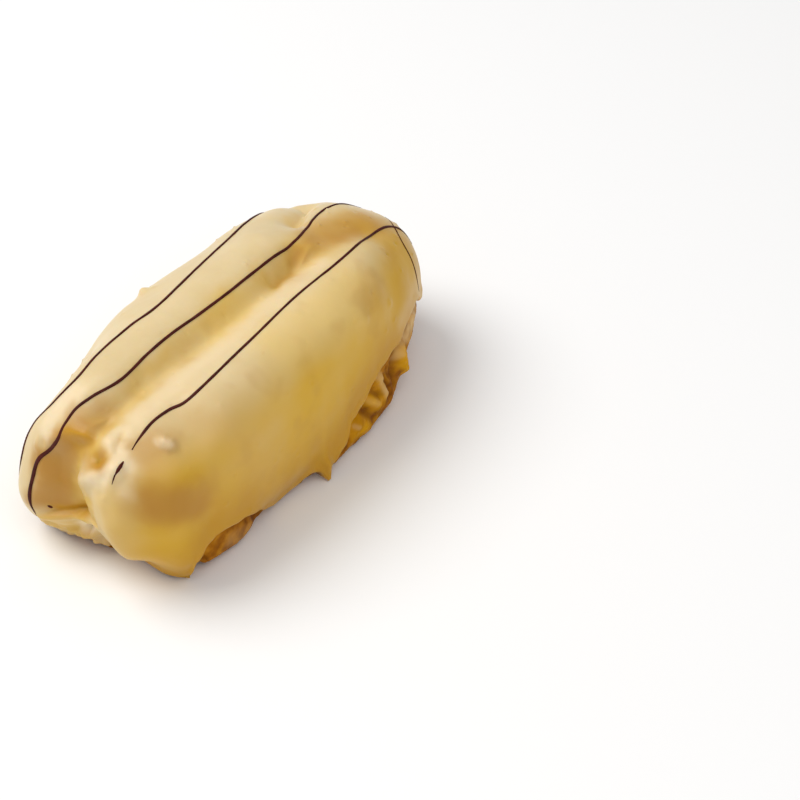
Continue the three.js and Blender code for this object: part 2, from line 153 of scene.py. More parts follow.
# Finer forms that only the visual model has.
FINE_SWELLS = {
    "step lip": (((-60, 0.5, 41.8), (-60.5, 7.4, 40.8), (-62.6, 11, 37)), 1.6, 0.5),
    "shelf": (((-65.3, 13, 11.6), (-66.5, 8, 13), (-67.2, 3, 14.6), (-67.3, -1, 16)), 1.2, 1),
    "cavity": (((-66.6, 4, 9.4), (-67, 0.5, 10.8), (-66.8, -4, 12.4)), 2, -1.6),
    "low lip": (((-63.5, 13, 5), (-64.8, 7, 5.4), (-65, 3, 6)), 1.5, 1.1),
    "scrap": (((-61.8, -6.8, 2.4), (-61.6, -8.6, 2.4)), 1.3, 2.2),
    "notch": (((-62.4, -3.4, 3),), 1.4, -1.4),
    "dimple": (((-62.9, -5.2, 38),), 2.2, -1.4),
    "upper knob core": (((-58.6, -5.2, 42.1),), 2.4, 0.7),
    "knob crease": (((-55.8, -7.4, 43.4), (-57.4, -8.3, 42.2), (-58.9, -8.4, 40.8)), 0.9, -0.4),
    "right knob": (((-56.6, -10.2, 42),), 1.7, 0.7),
    "third knob": (((-62.4, -9.6, 37.4), (-60.4, -11.6, 39.2)), 2.0, 0.7),
    "knob fold": (((-64.4, -8.2, 34.6), (-65.8, -9, 31.4)), 0.9, -0.5),
    "curtain edge": (((-66.2, -6.6, 31), (-67.2, -7.4, 26), (-67.4, -8.6, 22)), 1.2, 0.5),
    "curtain dent": (((-66, -10.6, 29.5), (-66.6, -11, 27)), 1.6, -0.4),
    "dash groove": (((-60.5, -12.8, 38.6), (-64, -12.6, 33.6)), 1.6, -0.5),
    "curtain fold": (((-67.4, -9.4, 19), (-66.6, -11.4, 14), (-65.5, -13, 10)), 0.9, -0.7),
    "near drip": (((-51.5, -21, 0.8),), 1.3, 2.7),
    "near drip root": (((-56.2, -16.8, 2), (-53.6, -20.4, 1.5), (-52.4, -22, 4)), 2.2, 1.3),
    "hanging drip": (((-2.8, -29.2, 6), (-2.8, -28.8, 3)), 1.7, 2.4),
    "hanging drip tip": (((-2.8, -28, 0.7),), 1.4, 3.4),
    "valley hollow": (((13, -3.4, 48.8), (18, -2.8, 48.6), (22, -2.2, 48.4)), 2.2, -0.8),
    "valley mouth": (((-50, -1, 46.4), (-44, -0.6, 47.6), (-39, 0.4, 48.2)), 2, -0.5),
    "dent crease": (((38, 8, 46.4), (44.8, 11.2, 43.9), (50, 13.6, 41.2)), 1.5, -0.8),
    "dent glint": (((46.5, 10.4, 43.4),), 1.4, 0.4),
    "blister": (((-51.3, -17, 42.2), (-50.7, -18.2, 41.6)), 1.5, 2.1),
    "blister foot": (((-51.4, -19.8, 40.4), (-49.8, -20.4, 40.4)), 1.4, -0.3),
    "pit blister": (((-66, 11, 25.5), (-66, 11.2, 24)), 0.9, 0.6),
    "ear": (((-62.6, 15.8, 34.6), (-63.2, 15.6, 32.4)), 1, 0.7),
    "ear crease": (((-62.7, 14.4, 35.4), (-63.2, 14.4, 33.6)), 0.9, -0.6),
    "side nub": (((-7.6, 23.6, 41.4),), 1.6, 1.5),
    "far pimple": (((33.5, -26.2, 34.5),), 1.2, 0.4),
    "far dimples": (((17.3, -25.7, 38.4), (21, -26.4, 36.9)), 1.3, 0.4),
}

# Height of the glaze's edge, by the share of the way round from the far end past +Y.
GLAZE_EDGE = (
    (0, 13), (0.06, 8), (0.13, 4), (0.19, 6.5), (0.25, 3), (0.31, 5.5), (0.37, 2.2), (0.42, 4.5),
    (0.455, 2.4), (0.485, 4), (0.505, 2.4), (0.52, 3.6), (0.54, 3), (0.57, 2.6), (0.579, 0.6),
    (0.586, 5), (0.593, 10), (0.603, 12.5), (0.616, 13.2), (0.642, 12.5), (0.662, 9.5),
    (0.677, 4), (0.69, 2.4), (0.712, 3), (0.73, 4.6), (0.739, 4.2), (0.745, 0.6), (0.751, 4.6),
    (0.77, 7.5), (0.783, 12.5), (0.797, 15), (0.813, 19), (0.825, 21.2), (0.85, 22),
    (0.875, 25), (0.895, 25.5), (0.93, 20), (0.96, 16), (1, 13),
)

# Torn folds of the crust where it is bare, as in the CAD source.
FOLDS = {
    "far fold": (((35, -28.6, 17), (37.5, -27.5, 11), (39.5, -27, 8)), 3, 2.4, (-1, 0, 0), 1.8),
    "middle fold": (((23.6, -29.7, 19), (27, -29, 10)), 2.6, 1.3, (1, 0, 0), 1.2),
    "golden roll": (((17.4, -29.8, 14), (22, -29.4, 9)), 2.4, 1.5, (1, 0, 0), 1.6),
    "lower fold": (((11, -29.8, 9), (17, -29, 4)), 3, 1),
    "upper fold": (((41.8, -27.1, 15), (49, -25, 20)), 2.8, 0.4),
    "near fold": (((-46, -27, 3), (-32, -28.4, 2.6)), 4, 1.6),
}

# Creases between the folds, which only the visual model has.
CREASES = {
    "far crease": (((31.6, -28.8, 17), (33, -28.5, 7)), 1.1, -1.2),
    "hook crease": (((29, -29, 16), (30.5, -28.8, 12)), 0.9, -1),
    "middle crease": (((26.4, -29.2, 15), (29, -28.9, 8)), 1, -1.6),
    "roll crease": (((19.6, -29.7, 15), (23, -29.4, 11)), 0.9, -1),
    "lower crease": (((15.4, -29.8, 11), (20, -29, 5)), 1.2, -1),
    "upper crease": (((40, -27.8, 21), (41.4, -27.4, 14)), 0.9, -1.2),
}

# Places that the chocolate lines pass over, and their half widths at the start and further on.
# The three long ones run from the near end to the far end.
LINES = {
    "left_line": (
        ((-60.5, 21, 18), (-61.2, 21.1, 22.5), (-60.4, 21.1, 27.4), (-58.9, 20.4, 32.5),
         (-55.8, 18.8, 37.8), (-52.4, 14.6, 42.8), (-47.3, 12.2, 45.5), (-37.8, 13, 46.6),
         (-26.8, 12.2, 47.6), (-16.6, 11.2, 48.1), (3.6, 13.7, 47.3), (19.8, 16.4, 45.9),
         (36, 19.8, 41.8), (42, 21, 38)),
        (0.42, 0.5),
    ),
    "middle_line": (
        ((-64.8, 14, 11.6), (-65.2, 14.7, 14.5), (-65.3, 15.2, 18), (-65.1, 15.5, 22.4),
         (-64.5, 15.1, 28.5), (-63.4, 12.4, 33.8), (-61.8, 8.9, 38), (-59.4, 8.2, 40.7),
         (-55.7, 7.1, 43.4), (-51.4, 5.2, 45.5), (-43.8, 2.6, 47.5), (-32.4, 2.2, 48.6),
         (-20.6, 1.6, 49), (-9.2, 0.8, 49), (3.1, 0.4, 49), (16.2, 0.4, 48.8), (27.3, 0.2, 48.1),
         (36.6, 2.7, 46.9), (45.3, 4.6, 44.8), (53.1, 4.1, 41.9), (59, 1.5, 38.5)),
        (0.58, 0.4),
    ),
    "right_line": (
        ((-57.5, -11.9, 41.1), (-54, -11.8, 43.1), (-48.5, -12, 45.1), (-43.2, -13.3, 46),
         (-40.6, -14.7, 45.8), (-35, -15.4, 46.2), (-21.7, -15, 46.8), (-8.1, -14.4, 47.1),
         (6.5, -13.6, 47.4), (19.7, -13.5, 47), (30.4, -13.4, 46.2), (40.8, -12.1, 44.7),
         (50.5, -10.6, 42), (57.1, -10.2, 38.5), (61, -11, 34.6), (62, -13.5, 31)),
        (0.44, 0.4),
    ),
    "dash": (((-60.3, -11.6, 38.9), (-61.3, -11.5, 37.9), (-62.7, -11.1, 36.2)), (0.48, 0.48)),
    "dash_tail": (((-61.4, -11.4, 37.8), (-62.8, -11, 36), (-64, -10.9, 34.2)), (0.2, 0.2)),
    "cross_line": (
        ((61, -5, 36.5), (58.4, -9.6, 37.6), (55, -15.4, 37.2), (53.8, -19.9, 33.3),
         (53.4, -22.4, 28.3), (53, -23.6, 25)),
        (0.26, 0.26),
    ),
    "speck": (((-66.3, 12.4, 15.9), (-66.4, 12.1, 15.5), (-66.4, 11.8, 15.1)), (0.4, 0.4)),
}

# A line's steps and sides, its cross-section in shares of its half width, its tapering ends, the
# stretch over which its width changes, and its unevenness.
LINE_STEP, LINE_FEWEST_STEPS, LINE_SMOOTHINGS = 0.6, 4, 6
LINE_SIDES, LINE_FLATNESS, LINE_RAISE = 12, 0.62, 0.12
LINE_TAPERING, LINE_END_SHARE = 7, 0.35
LINE_CHANGES_WIDTH = (12, 40)
LINE_UNEVENNESS, LINE_LUMPS, FIRST_LINE_SEED = 0.12, 4, 31
FINDER_START = 12

# Where the glaze and the crust change colour: the places of a path, its reach and its strength.
# The number after them is how sharp the zone's border is, ZONE_SHARPNESS where there is none.
ZONE_SHARPNESS = 3
CREVICE_PATH = ((-66.6, 10.5, 14.9), (-67.5, 5.3, 16.6), (-67.8, -1.6, 19.4))
GOLDEN = {
    "valley": (((-55, 0, 44), (-25, -3, 48.9), (24, -3.4, 48.4)), 5, 0.5),
    # Painted shade in the valley's hollow.
    "valley hollow": (((13, -3.8, 48.8), (19, -3.4, 48.6), (25, -1.8, 48.2)), 2.6, 0.6, 2),
    "valley line": (((-44, 0.6, 47.6), (-20, -0.6, 49), (12, -1.6, 48.9)), 2, 0.38, 2),
    # Painted shade in the dimple.
    "dimple": (((-61.4, -1.6, 39.4), (-63.2, -6, 37.4)), 4.2, 0.65, 2),
    "torn foot": (((-64.5, 12, 9), (-66, 4, 7)), 4, 0.65),
    # Painted shade in the knob's crease.
    "knob crease": (((-55.8, -7.4, 43.4), (-57.4, -8.3, 42.2), (-58.9, -8.4, 40.8)), 0.9, 0.5),
    "pit": (((-62.3, 5.4, 38), (-65.8, 6.4, 32.5), (-67.5, 5.4, 19.5)), 5, 0.95),
    "pit floor": (((-65.5, 11, 30), (-66.8, 10.5, 19)), 5, 0.7),
    "lower knob": (((-66.6, -1.4, 30.4),), 2.2, 0.6),
    "knob foot": (((-67.2, -3, 26), (-67.2, -4, 20)), 3, 0.9),
    "shelf": (((-65.3, 13, 11.6), (-66.5, 8, 13), (-67.2, 3, 14.6), (-67.3, -1, 16)), 1.8, 0.5),
    "dent": (((37, 8, 46.6), (45, 11.4, 44)), 3.6, 0.6),
    "ear": (((-62.9, 14.4, 34.8),), 1.1, 0.6),
    "far crown": (((33, -4, 47.2), (40, -5, 46), (46, -6, 44.6)), 7.5, 0.7),
    "far flank": (((52, -20, 33), (44, -24, 30)), 13, 1),
    "curtain": (((-66.6, -11, 27), (-67, -12, 22), (-65, -16, 16)), 6, 0.35),
}
# Painted shade: a darker gold in the crevice under the shelf, in the shadow under the step's lip and
# in the dimple.
PAINTED_SHADE_ZONES = {
    "crevice": (CREVICE_PATH, 1.8, 0.85),
    "step": (((-60.6, 1, 40.6), (-61.1, 6.5, 39.8)), 1.8, 0.75),
    "dimple": (((-62.8, -5.4, 38), (-63.1, -6.4, 37.6)), 1.5, 0.45, 2),
}
# Brown where the glaze is thin over the crust. Some of these zones are painted shade, as marked.
BROWN = {
    "pit": (((-62.4, 8, 37.4), (-66, 11, 31), (-67, 11, 26), (-67, 10.6, 18)), 4.6, 0.82),
    "pit left side": (((-63.8, 14.6, 30), (-65, 14.6, 22), (-65.4, 14.4, 17)), 2.2, 0.6),
    # Painted shadow under the step's lip.
    "step": (((-60.5, 1, 40.8), (-61, 6.5, 40)), 2, 0.7),
    # Painted shade in and beside the dimple.
    "dimple": (((-62.6, -5.6, 38.1), (-63.3, -7, 37.3)), 2.2, 0.8, 2),
    "beside dimple": (((-62.8, 0.4, 38), (-63.4, -3.8, 37.3)), 3, 0.42, 2),
    "drip": (((-56.5, -23.6, 10.6), (-55.5, -24.5, 6)), 4, 0.35, 2),
    "near flank": (((-42, -18, 44), (-36, -24, 36), (-26, -28, 26)), 8, 0.14, 2),
    # Painted shade in the crevice.
    "crevice": (CREVICE_PATH, 1.2, 0.8),
    # Painted shade in the valley's hollow.
    "valley hollow": (((14, -4.4, 48.7), (20, -4, 48.5), (25, -2.4, 48.1)), 1.5, 0.5, 2),
    "above step": (((-58.6, 3, 42), (-58, 7.4, 42), (-56, 8, 43.4)), 2.6, 0.4),
    # The near lobe: thinner glaze over the crust, and painted shade on its side turned from the key
    # lamp, darkest in its core.
    "near lobe": (((-60.2, -19.2, 31.4), (-57.5, -22.6, 30.2), (-51, -26.6, 28)), 6.8, 0.55),
    "near lobe core": (((-59.6, -20.4, 29.6), (-57, -23, 28.6), (-52, -26.4, 27)), 4.4, 0.75, 2.5),
    "valley mouth": (((-53, 1.6, 45), (-57, 3.4, 43)), 4, 0.45),
    "far crown": (((34, -2, 47), (41, -3.5, 46), (50, -6.5, 43)), 6.5, 0.55),
    "valley wall": (((26, -3, 48.2), (31, -3.6, 47.6)), 3.4, 0.35),
    "far bulge": (((37, -7, 46.4), (42, -9, 45)), 4, 0.5),
    "far side": (((46.8, -17.2, 40.4), (44, -22, 35)), 5, 0.15),
    "far flank": (((26.4, -24.3, 39.3), (30, -24, 38.5)), 5.5, 0.3),
    "far end": (((56, -12, 36), (56, -18, 30)), 8, 0.35),
    "right line start": (((-52, -17, 42), (-56, -14, 41)), 5, 0.5),
}
# Painted highlights: paler glaze where light catches the bright band, the knobs, the lobe's rim, the
# left lobe, the blister, the dent and the far edge, and a little on the near flank.
PAINTED_HIGHLIGHTS = {
    "bright band": (((-50, -7.5, 45.5), (-20, -9.5, 48.4), (25, -9.5, 47.8)), 3.2, 0.5),
    "upper knob": (((-59.6, -8.4, 41), (-58.4, -5.6, 42), (-56.4, -5.4, 43.4), (-55.5, -8, 44)),
                   2.4, 0.6),
    "knob ridge": (((-65.2, -5, 33.8), (-64, -8.8, 35.2), (-60, -11.8, 39.4)), 2, 0.85),
    "lobe rim": (((-60.5, -13, 39.2), (-62.4, -13.4, 36.2), (-63.8, -14.4, 33)), 2.4, 0.45, 2),
    "near flank": (((-38, -25, 34), (-26, -28, 26)), 10, 0.12, 2),
    "left lobe": (((-60.4, 14, 38.6), (-52, 10.5, 45)), 3.4, 0.8),
    "blister": (((-51.3, -17, 42.2), (-50.7, -18.2, 41.6)), 1.6, 0.6),
    "dent glint": (((46.5, 10.4, 43.4),), 1.6, 0.5),
    "far edge": (((38.7, -27.6, 26), (46, -24.5, 27), (54, -20.5, 26)), 3.8, 0.25),
}
# Painted light: a brighter, warmer yellow where light falls on the top of the right flank, lower on
# that flank and in the valley.
PAINTED_LIGHT_ZONES = {
    "flank top": (((-8, -20, 44.2), (24, -21, 43)), 7, 0.6, 2),
    "flank": (((12, -24.5, 39), (28, -26.5, 33)), 6, 0.3, 2),
    "valley": (((-15, -3.4, 49), (1, -3.8, 49)), 5, 0.45, 2),
}
CRUMB = {
    "cavity": (((-66.6, 3.6, 9.4), (-67, 0.5, 10.8), (-66.8, -4, 12.2)), 2.6, 1.1, 5),
    "ledge": (((-65.6, 9, 9),), 2, 0.2),
}
TORN = {"near foot": (((-62, 13, 5), (-63.5, 6, 6), (-63.5, 0, 6), (-62, -9, 4)), 4.5, 1)}
SMEARS = {
    "middle fold": (((23.6, -29.7, 19), (27, -29, 9)), 1.5, 0.7, 4),
    "golden roll": (((18, -29.8, 13), (21, -29.4, 10)), 1, 0.35),
    "upper fold": (((42, -27, 18), (46, -26, 20), (54, -23, 20)), 3, 1),
    "far fold": (((33.7, -28.8, 17.8), (35.2, -28.6, 19.8), (38.4, -28, 20)), 1.8, 0.55),
    "lower speck": (((11.8, -29.8, 8.1),), 0.8, 0.5),
    "lowest speck": (((10.2, -28.4, 1.8),), 0.8, 0.9),
    "near fold": (((-40, -28, 5), (-34, -28, 3)), 3, 0.25),
}

# The colours laid over the glaze and the crust, by the name of their painted share.
GLAZE_TINTS = {
    "golden": (0.69, 0.43, 0.06),
    # A golden flank: thinner glaze on the right flank, and painted shade on that side, turned from
    # the key lamp.
    "flank": (0.7, 0.415, 0.024),
    # The colour of the painted light.
    "painted_light": (0.84, 0.6, 0.2),
    "brown": (0.455, 0.207, 0.025),
    # A darker gold: thinner glaze towards its edge, and painted shade.
    "edge_and_shade": (0.57, 0.295, 0.018),
    # The colour of the painted highlights.
    "pale": (0.86, 0.7, 0.46),
    "crumb": (0.95, 0.77, 0.5),
}
CRUST_TINTS = {
    "ochre": (0.68, 0.33, 0.004),
    # Painted shade in the creases and at the table.
    "dark": (0.17, 0.05, 0.003),
    "smear": (0.72, 0.48, 0.21),
}

# The camera, fitted to the puff's outline in the photograph.
PHOTO_SIZE = 800
CAMERA_AZIMUTH = math.radians(-50.7)
CAMERA_ELEVATION = math.radians(40.0)
CAMERA_DISTANCE = 700.0
LENS_PIXELS = 2600.0
SENSOR = 36.0
AIM = np.array((0.0, 0.0, 20.0))
AIM_PIXEL = (238.5, 375.0)

# Layers of noise: the height, the size of the lumps and the seed of each. The waves of the edge run
# round a ring with a radius of 1.
EDGE_WAVES = ((0.7, 0.12, 11), (0.35, 0.05, 12))
DIPPING = ((0.22, 15, 1), (0.1, 6, 2), (0.03, 2.5, 9))
FLANK_RUNS = ((0.25, 5.5, 3),)
CRUMBS = ((0.8, 0.9, 4), (1.1, 1.8, 7))
TATTERS = ((1.4, 2.6, 8), (0.6, 1.3, 10))
CRUST_STRATA = ((0.55, 8, 24),)
CRUST_FLAKES = ((0.26, 2.6, 25),)
CRUST_GRAIN = ((0.12, 1, 26),)
DRIFT = ((1, 16, 41), (0.5, 7, 42))
BLOTCHES = ((1, 9, 45), (0.5, 3.5, 46))
OCHRE_MOTTLING = ((0.5, 4, 44),)
SMEAR_MOTTLING = ((0.4, 2.5, 43),)

# Noise that moves places: how far, the size of its lumps and the first of its three seeds.
CRUST_BEND = ((2.2, 7, 21),)
COLOUR_SHIFTS = ((1.2, 6, 51), (0.35, 2, 54))

# Scales along each axis of the places that noise is looked up at. A scale below 1 draws its lumps
# out, so runs are long downwards and strata lie flat.
RUN_SCALES = (1, 1, 0.25)
STRATA_SCALES = (0.7, 0.7, 1.4)

# Bubbles and pinholes: the seed, how many there are, their radius and their height. Each one draws
# its own share of both, between two limits.
BUBBLES = (5, 90, 0.55, 0.3)
PINHOLES = (6, 50, 0.4, -0.3)
BUBBLE_RADII = (0.6, 1.4)
BUBBLE_HEIGHTS = (0.5, 1.2)

# Stretches over which a share grows from 0 to 1. FAR is measured along X, NEAR along -X, RIGHT
# along -Y and DOWN along -Z.
HOLLOWS_NEAR = (50, 56)
RUNS_DOWN = (-30, -8)
TORN_FAR = (-20, 0)
OCHRE_FAR = (-12, 8)
# The painted shadow at the table grows over this stretch.
FOOT_SHADOW_DOWN = (-2, -0.3)
BLOTCHES_RIGHT = (-6, 4)
# The flank tint lies on the right side only, turned from the key lamp: thinner glaze there, and
# painted shade.
FLANK_RIGHT, FLANK_DOWN = (6, 24), (-48.5, -34)
# The right side's darker edge band is partly painted shade, on the side turned from the key lamp.
THIN_AND_SHADED_RIGHT, THIN_AND_SHADED_DOWN = (-2, 18), (-32, -12)
SPARED_FAR, SPARED_NEAR = (40, 52), (46, 58)

# How much of its relief the crust keeps where it is smooth.
SMOOTH_CRUST = 0.4

# How strongly the skins are coloured, at which height of a fold or depth of a crease fully, and how
# much that drifts from place to place.
FULLY_COLOURED_HEIGHT = 1.6
# How strongly the crust is darkened at the table: a painted contact shadow.
PAINTED_FOOT_SHADOW = 0.35
SMEAR_STRENGTH = 0.85
BLOTCH_STRENGTH, BLOTCH_BORDER = 0.2, (0.1, 0.9)
# The right side's edge band, partly painted shade, reaches further up than the left's.
RIGHT_EDGE_STRENGTH, RIGHT_EDGE_REACH, RIGHT_EDGE_SHARPNESS = 0.95, 11, 1.5
LEFT_EDGE_STRENGTH, LEFT_EDGE_REACH = 0.5, 2.5
LOW_STRENGTH = 0.3
SPARED_FAR_SHARE, SPARED_NEAR_SHARE = 0.6, 0.3
GOLDEN_DRIFT_EVERYWHERE, GOLDEN_DRIFT = 0.1, 0.3
FLANK_DRIFT, BROWN_DRIFT, DEEP_DRIFT = 0.2, 0.12, 0.25

# Ramps of colour under the tints: positions from 0 to 1 and their colours.
CREAM = ((0.35, (0.71, 0.555, 0.30)), (0.65, (0.76, 0.605, 0.35)))
BAKED = ((0.32, (0.2, 0.06, 0.002)), (0.5, (0.37, 0.128, 0.004)), (0.68, (0.53, 0.225, 0.014)))
CHOCOLATE = ((0.3, (0.045, 0.007, 0.005)), (0.7, (0.09, 0.016, 0.011)))

# The stage, in metres. A lamp has a place, a size and a power, and shines at the origin.
FLOOR_HALF = 3.0
FLOOR_COLOUR = (0.95, 0.955, 0.965, 1)
CAMERA_RANGE = (0.05, 20)
LAMPS = {
    "key": ((-0.3, 0.65, 1.05), 0.95, 10.5),
    "fill": ((-0.3, -0.7, 1.1), 1.2, 4.5),
}
LAMP_COLOUR = (1, 0.98, 0.95)
SKY_COLOUR = (1, 1, 1, 1)
SKY_STRENGTH = 0.44

# The numbers of the noise: large factors and shifts that scatter bits, and the gain that brings it
# to about 1.
CELL_FACTORS = (73856093, 19349663, 83492791)
SEED_FACTOR = 374761393
SCATTERING = ((13, 1274126177), (16, 2246822519))
LAST_SHIFT = 15
LOW_32_BITS = 0xFFFFFFFF
LOW_16_BITS = 0xFFFF
RISE_SEED = 101
NOISE_GAIN = 1.6

# How finely curves are sampled and searched. The tiny numbers keep divisions from failing.
OUTLINE_SAMPLES = 40001
MERIDIAN_SAMPLES = 400
SPLINE_SAMPLES = 60
HALVINGS = 30
TINY = 1e-9
TINY_REACH = 1e-6


# ---------------------------------------------------------------- numbers


def smooth_step(value, start, end):
    t = np.clip((value - start) / (end - start), 0, 1)
    return t * t * (3 - 2 * t)


def signed_power(value, power):
    return np.sign(value) * np.abs(value) ** power


def hashed(cells, seed):
    """A random number from 0 to 1 for each whole-numbered cell."""
    x, y, z = CELL_FACTORS
    bits = cells[..., 0] * x ^ cells[..., 1] * y ^ cells[..., 2] * z
    bits = (bits + seed * SEED_FACTOR) & LOW_32_BITS
    for shift, factor in SCATTERING:
        bits = ((bits ^ (bits >> shift)) * factor) & LOW_32_BITS
    return ((bits ^ (bits >> LAST_SHIFT)) & LOW_16_BITS) / LOW_16_BITS


def noise(points, size, seed):
    """Smooth noise from about -1 to 1, with lumps about size across."""
    place = points / size
    cell = np.floor(place).astype(np.int64)
    part = place - cell
    ease = part**3 * (part * (part * 6 - 15) + 10)
    total = np.zeros(points.shape[:-1])
    for corner in np.ndindex(2, 2, 2):
        at = cell + np.array(corner)
        turn = hashed(at, seed) * 2 * math.pi
        rise = hashed(at, seed + RISE_SEED) * 2 - 1
        flat = np.sqrt(1 - rise**2)
        away = part - np.array(corner)
        slope = away[..., 0] * flat * np.cos(turn) + away[..., 1] * flat * np.sin(turn)
        slope += away[..., 2] * rise
        weight = np.prod(np.where(np.array(corner) == 1, ease, 1 - ease), axis=-1)
        total += weight * slope
    return total * NOISE_GAIN


def layered(points, layers, share=1):
    """The sum of layers of noise, or a share of it."""
    total = np.zeros(points.shape[:-1])
    for height, size, seed in layers:
        total += height * share * noise(points, size, seed)
    return total


def moved(points, moves):
    """Places moved unevenly by noise."""
    places = points
    for distance, size, seed in moves:
        way = np.stack([noise(points, size, seed + axis) for axis in range(3)], -1)
        places = places + distance * way
    return places


def bubbles(points, seed, count, size, height):
    """Small round bumps, or pinholes where height is below 0, at seeded random places."""
    draw = np.random.default_rng(seed)
    total = np.zeros(points.shape[:-1])
    flat = points.reshape(-1, 3)
    for _ in range(count):
        centre = flat[draw.integers(len(flat))]
        radius = size * draw.uniform(*BUBBLE_RADII)
        near = np.linalg.norm(points - centre, axis=-1)
        total += height * draw.uniform(*BUBBLE_HEIGHTS) * np.exp(-((near / radius) ** 2))
    return total


def offset_from_path(points, places):
    """The way to each point from the nearest place on a path, and its length."""
    places = np.array(places, float)
    offset, nearest = points - places[0], np.linalg.norm(points - places[0], axis=-1)
    for start, along in zip(places, np.diff(places, axis=0)):
        length = max(along @ along, TINY)
        share = np.clip((points - start) @ along / length, 0, 1)
        way = points - (start + share[..., None] * along)
        reach = np.linalg.norm(way, axis=-1)
        closer = reach < nearest
        offset = np.where(closer[..., None], way, offset)
        nearest = np.minimum(reach, nearest)
    return offset, nearest


def lift(points, swells):
    """How far a set of swells lifts the skin."""
    total = np.zeros(points.shape[:-1])
    for places, radius, height, *steeper in swells.values():
        offset, reach = offset_from_path(points, places)
        if steeper:
            toward, steep_radius = steeper
            side = offset @ np.array(toward, float) / np.maximum(reach, TINY_REACH)
            radius = radius + (steep_radius - radius) * smooth_step(side, *STEEP_SIDE)
        total += height * np.exp(-((reach / radius) ** 2))
    return total


def sink(points, hollows):
    """How far a set of hollows at the near end lifts the skin, below 0."""
    total = np.zeros(points.shape[:-1])
    for depth, edges in hollows.values():
        inside = smooth_step(-points[..., 0], *HOLLOWS_NEAR)
        for place, way_in, softness in edges:
            way = (points - np.array(place)) @ np.array(way_in)
            inside = inside * smooth_step(way, 0, softness)
        total -= depth * inside
    return total


def swelling(points):
    """How far the main swells and hollows lift the skin."""
    return lift(points, SWELLS) + sink(points, HOLLOWS)


def strength(points, zones):
    """From 0 to 1: how much a set of zones colours each point."""
    spare = np.ones(points.shape[:-1])
    for places, reach, most, *sharpness in zones.values():
        away = offset_from_path(points, places)[1]
        power = sharpness[0] if sharpness else ZONE_SHARPNESS
        spare *= 1 - np.clip(most * np.exp(-((away / reach) ** power)), 0, 1)
    return 1 - spare


def lengths_along(points):
    """How far along a curve each of its points is."""
    steps = np.linalg.norm(np.diff(points, axis=0), axis=-1)
    return np.concatenate([np.zeros((1, *steps.shape[1:])), np.cumsum(steps, axis=0)])


# ---------------------------------------------------------------- the form


def outline_points(angles):
    along = np.cos(angles)
    ends = np.where(along < 0, SQUARE_NEAR, SQUARE_FAR)
    x = HALF_LENGTH * signed_power(along, 2 / ends)
    y = HALF_WIDTH * signed_power(np.sin(angles), 2 / SQUARE_SIDES)
    return x, y


def crown_height(x, y):
    ends = np.where(x < 0, SQUARE_NEAR, SQUARE_FAR)
    out = np.abs(x / HALF_LENGTH) ** ends + np.abs(y / HALF_WIDTH) ** SQUARE_SIDES
    rise = np.maximum(1 - out, 0) ** (1 / SQUARE_CROWN)
    return WIDEST_HEIGHT + (HEIGHT - WIDEST_HEIGHT) * rise


def form_points(angles, levels):
    """Places on the smooth form, before it swells."""
    out_x, out_y = outline_points(angles)
    reach = np.sin(np.clip(levels, 0, 1) * math.pi / 2)
    top_x = out_x * (TOP_LINE_SHARE + (1 - TOP_LINE_SHARE) * reach)
    top_y = out_y * reach
    top = np.stack([top_x, top_y, crown_height(top_x, top_y)], -1)
    down = np.clip(levels - 1, 0, 1)
    nearness = np.clip(-out_x / HALF_LENGTH, 0, 1)
    tuck = TUCK_FAR + (TUCK_NEAR - TUCK_FAR) * nearness
    shrink = 1 - tuck * (1 - np.sqrt(1 - down * down))
    side = np.stack([out_x * shrink, out_y * shrink, WIDEST_HEIGHT * (1 - down)], -1)
    return np.where((levels <= 1)[..., None], top, side)


def outward(points):
    """The way out of the puff: away from its spine, and level at the table."""
    way = points.copy()
    way[..., 0] -= np.clip(points[..., 0] * SPINE_SHARE, -SPINE_REACH, SPINE_REACH)
    way[..., 2] -= SPINE_HEIGHT
    way /= np.linalg.norm(way, axis=-1, keepdims=True)
    way[..., 2] *= np.minimum(points[..., 2] / SPINE_HEIGHT, 1)
    return way


def even_angles(count):
    """Angles that divide the outline into equal lengths, alike on both sides of the X axis."""
    fine = np.linspace(0, math.pi, OUTLINE_SAMPLES)
    x, y = outline_points(fine)
    lengths = np.concatenate([[0], np.cumsum(np.hypot(np.diff(x), np.diff(y)))])
    half = np.interp(np.linspace(0, lengths[-1], count // 2 + 1), lengths, fine)
    return np.concatenate([half, -half[-2:0:-1]])


def edge_height(around):
    """Height of the glaze's edge at shares of the way round, with its finer waves."""
    shares, heights = np.array(GLAZE_EDGE).T
    after = np.clip(np.searchsorted(shares, around, side="right"), 1, len(shares) - 1)
    ease = smooth_step(around, shares[after - 1], shares[after])
    height = heights[after - 1] + (heights[after] - heights[after - 1]) * ease
    turn = 2 * math.pi * around
    ring = np.stack([np.cos(turn), np.sin(turn), np.zeros_like(turn)], -1)
    return height + layered(ring, EDGE_WAVES) * smooth_step(height, *WAVES_FROM_HEIGHT)


# For each column: its angle, the height of the glaze's edge, and the top's and the table's level.
ANGLES = even_angles(COLUMNS)
EDGE = edge_height(np.arange(COLUMNS) / COLUMNS)
TOP = np.zeros(COLUMNS)
TABLE = np.full(COLUMNS, 2.0)


def places_at(levels):
    """Places on the smooth form at the levels of each column."""
    return form_points(np.broadcast_to(ANGLES, levels.shape), levels)


def meridian_levels(start, end, count):
    """Levels between two levels of each column, at equal lengths down the form."""
    share = np.linspace(0, 1, MERIDIAN_SAMPLES)[:, None]
    levels = start + (end - start) * share
    lengths = lengths_along(places_at(levels))
    wanted = np.linspace(0, 1, count + 1)
    columns = [
        np.interp(wanted * lengths[-1, i], lengths[:, i], levels[:, i]) for i in range(COLUMNS)
    ]
    return np.array(columns).T


